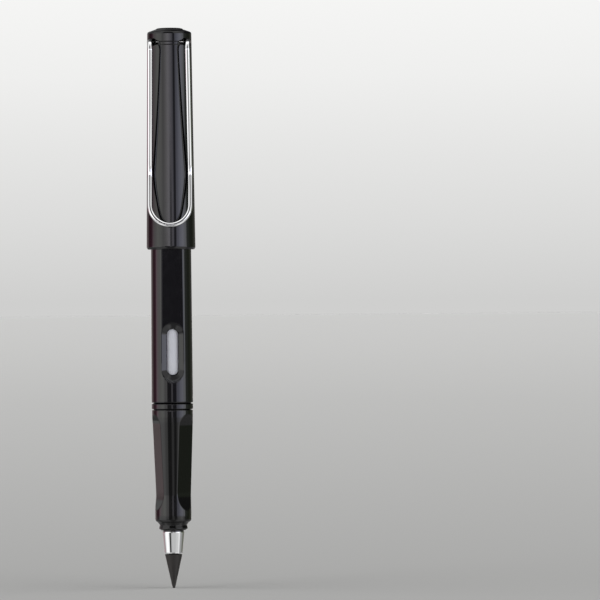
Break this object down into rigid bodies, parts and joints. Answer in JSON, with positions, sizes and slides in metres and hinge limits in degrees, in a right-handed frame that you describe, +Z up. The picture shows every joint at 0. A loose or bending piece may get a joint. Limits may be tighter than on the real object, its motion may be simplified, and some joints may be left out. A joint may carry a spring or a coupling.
{
  "type": "everlasting pencil",
  "caption": "Inkless everlasting pencil with a metal-alloy cone tip, faceted grip, windowed barrel, and a posted cap with a bent-wire clip.",
  "frame": {"origin": "the writing point, on the pencil's axis", "axes": "+Z up the pencil's axis from the writing point to the cap's end; the clip faces -Y; +X is to the right as the picture shows it"},
  "size_m": [0.0142, 0.0169, 0.1637],
  "materials": {
    "tip_alloy": "matt turned graphite-metal alloy",
    "ferrule_chrome": "bright",
    "stud_steel": "turned",
    "grip_black": "satin gloss",
    "ring_black": "satin",
    "barrel_black": "gloss",
    "tube_white": "milky satin",
    "cap_black": "gloss",
    "liner_black": "satin",
    "clip_chrome": "bright"
  },
  "bodies": {
    "section": {"grip_section": "grip_black", "cap_snap_ring": "ring_black"},
    "ferrule": {"tip_ferrule": "ferrule_chrome"},
    "tip": {"writing_tip": "tip_alloy", "tip_stud": "stud_steel"},
    "tube": {"inner_tube": "tube_white"},
    "barrel": {"barrel": "barrel_black", "barrel_end_plug": "barrel_black"},
    "cap": {"cap_shell": "cap_black", "cap_liner": "liner_black", "cap_finial": "cap_black"},
    "clip": {"clip": "clip_chrome"}
  },
  "joints": [
    {"name": "tip_travel", "type": "slide", "parent": "section", "child": "ferrule", "axis": [0, 0, -1], "range_m": [0, 0.0035]},
    {"name": "tip_unscrew", "type": "hinge", "parent": "ferrule", "child": "tip", "pos_m": [0, 0, 0.0169], "axis": [0, 0, -1], "range_deg": [0, 1800]},
    {"name": "barrel_travel", "type": "slide", "parent": "section", "child": "tube", "axis": [0, 0, 1], "range_m": [0, 0.0048]},
    {"name": "barrel_unscrew", "type": "hinge", "parent": "tube", "child": "barrel", "pos_m": [0, 0, 0.05425], "axis": [0, 0, 1], "range_deg": [0, 1440]},
    {"name": "cap_pull", "type": "slide", "parent": "barrel", "child": "cap", "axis": [0, 0, 1], "range_m": [0, 0.05]},
    {"name": "clip_flex", "type": "hinge", "parent": "cap", "child": "clip", "pos_m": [0, -0.0012, 0.15973], "axis": [-1, 0, 0], "range_deg": [0, 4], "stiffness_Nm_per_rad": 2.5}
  ],
  "couplings": [
    {"joint": "tip_unscrew", "follows": "tip_travel", "rad_per_m": 8975.9},
    {"joint": "barrel_unscrew", "follows": "barrel_travel", "rad_per_m": 5235.9}
  ]
}
